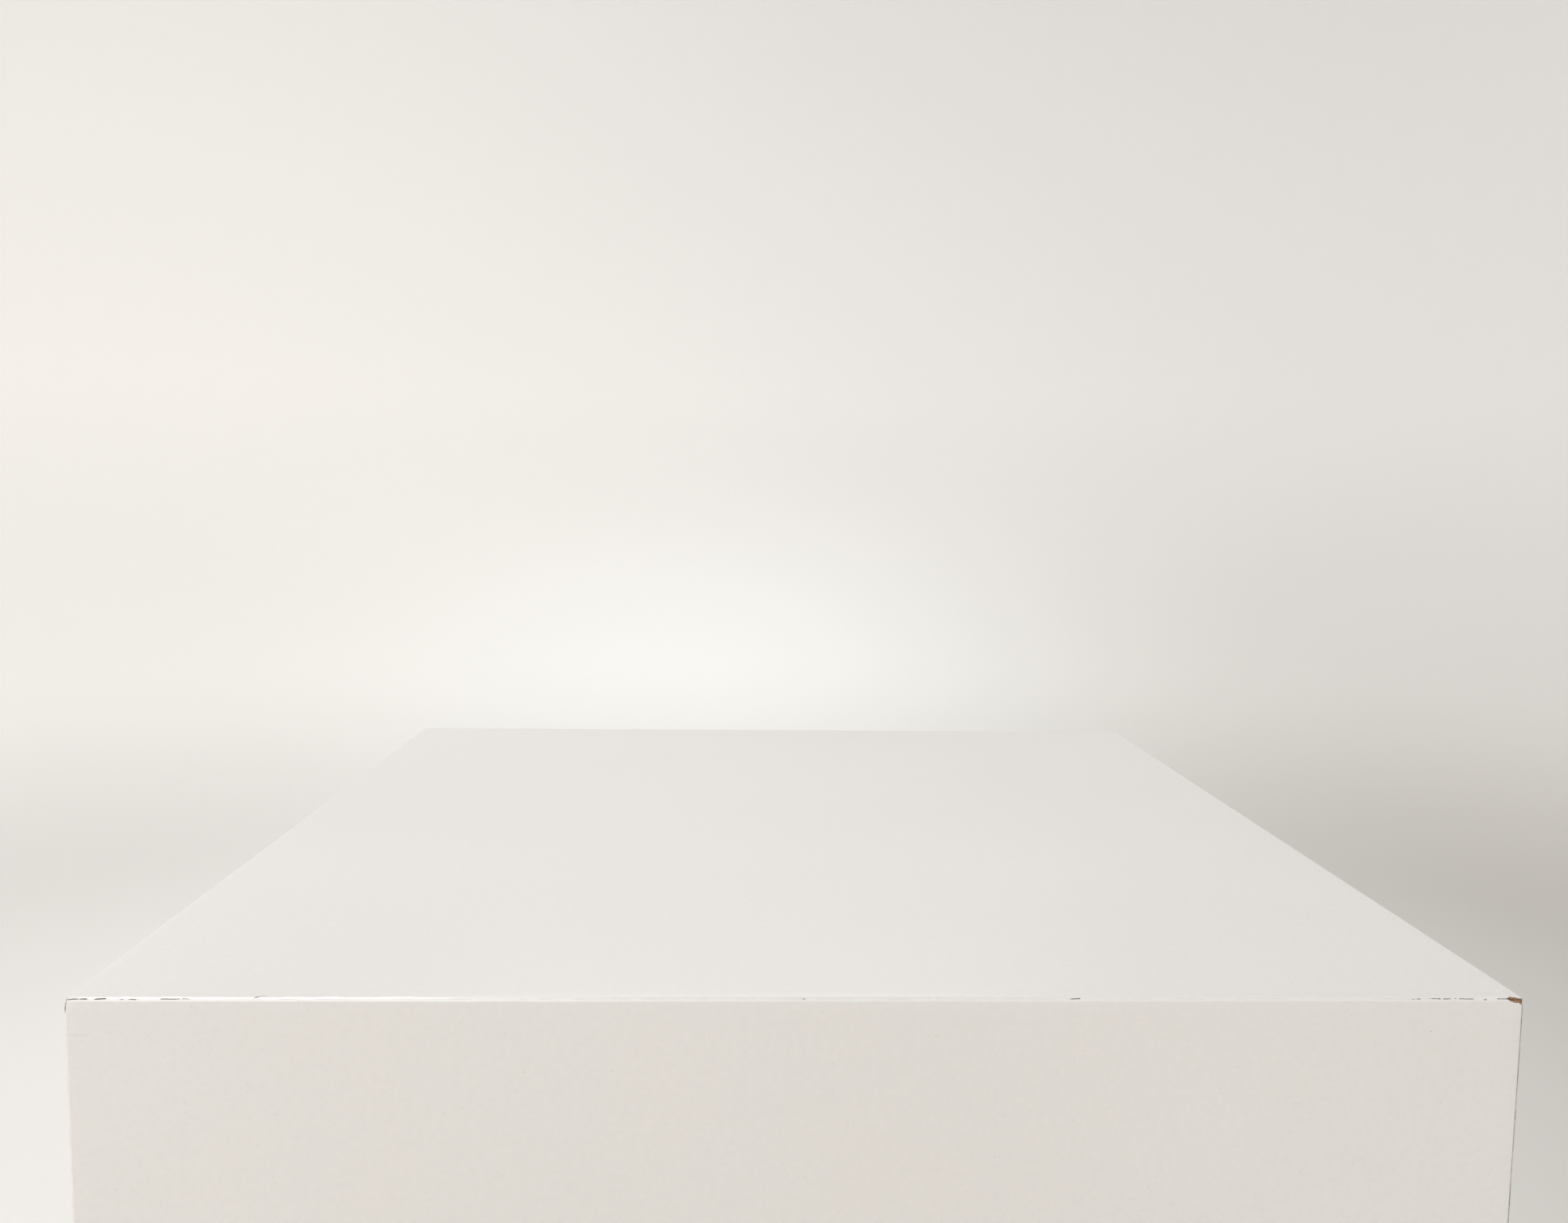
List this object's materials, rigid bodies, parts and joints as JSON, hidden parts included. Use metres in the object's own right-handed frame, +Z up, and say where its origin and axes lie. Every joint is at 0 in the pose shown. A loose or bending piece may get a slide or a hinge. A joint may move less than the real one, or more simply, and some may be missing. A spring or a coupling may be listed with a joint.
{
  "type": "display plinth",
  "caption": "Tall square white-painted display plinth: a mitred box of flat boards with eased edges, a softwood frame inside and screw-adjusted levelling feet.",
  "frame": {"origin": "middle of the footprint on the floor, with the feet fully screwed in", "axes": "+Z up, the front faces -Y, +X to the right seen from the front"},
  "size_m": [0.5, 0.5, 1],
  "materials": {
    "white_paint": "roller-applied satin white paint over fibreboard",
    "softwood": "planed, unfinished",
    "birch_plywood": "sanded, unfinished",
    "beech": "pressed, unfinished",
    "zinc_steel": "bright zinc plated",
    "black_nylon": "moulded, matte"
  },
  "bodies": {
    "plinth_box": {"top_panel": "white_paint", "front_panel": "white_paint", "back_panel": "white_paint", "left_panel": "white_paint", "right_panel": "white_paint", "corner_batten_front_left": "softwood", "corner_batten_front_right": "softwood", "corner_batten_back_left": "softwood", "corner_batten_back_right": "softwood", "top_cleat_front": "softwood", "top_cleat_back": "softwood", "top_cleat_left": "softwood", "top_cleat_right": "softwood", "mid_rail_front": "softwood", "mid_rail_back": "softwood", "mid_rail_left": "softwood", "mid_rail_right": "softwood", "base_rail_front": "softwood", "base_rail_back": "softwood", "base_rail_left": "softwood", "base_rail_right": "softwood", "base_board": "birch_plywood", "upright_mitre_biscuits": "beech", "top_mitre_biscuits": "beech", "batten_screws": "zinc_steel", "top_cleat_screws": "zinc_steel", "mid_rail_screws": "zinc_steel", "base_rail_screws": "zinc_steel", "base_board_screws": "zinc_steel", "tee_nuts": "zinc_steel"},
    "foot_front_left": {"foot_pad_front_left": "black_nylon", "foot_stud_front_left": "zinc_steel"},
    "foot_front_right": {"foot_pad_front_right": "black_nylon", "foot_stud_front_right": "zinc_steel"},
    "foot_back_left": {"foot_pad_back_left": "black_nylon", "foot_stud_back_left": "zinc_steel"},
    "foot_back_right": {"foot_pad_back_right": "black_nylon", "foot_stud_back_right": "zinc_steel"}
  },
  "joints": [
    {"name": "foot_front_left_screw", "type": "slide", "parent": "plinth_box", "child": "foot_front_left", "axis": [0, 0, -1], "range_m": [0, 0.012]},
    {"name": "foot_front_right_screw", "type": "slide", "parent": "plinth_box", "child": "foot_front_right", "axis": [0, 0, -1], "range_m": [0, 0.012]},
    {"name": "foot_back_left_screw", "type": "slide", "parent": "plinth_box", "child": "foot_back_left", "axis": [0, 0, -1], "range_m": [0, 0.012]},
    {"name": "foot_back_right_screw", "type": "slide", "parent": "plinth_box", "child": "foot_back_right", "axis": [0, 0, -1], "range_m": [0, 0.012]}
  ]
}
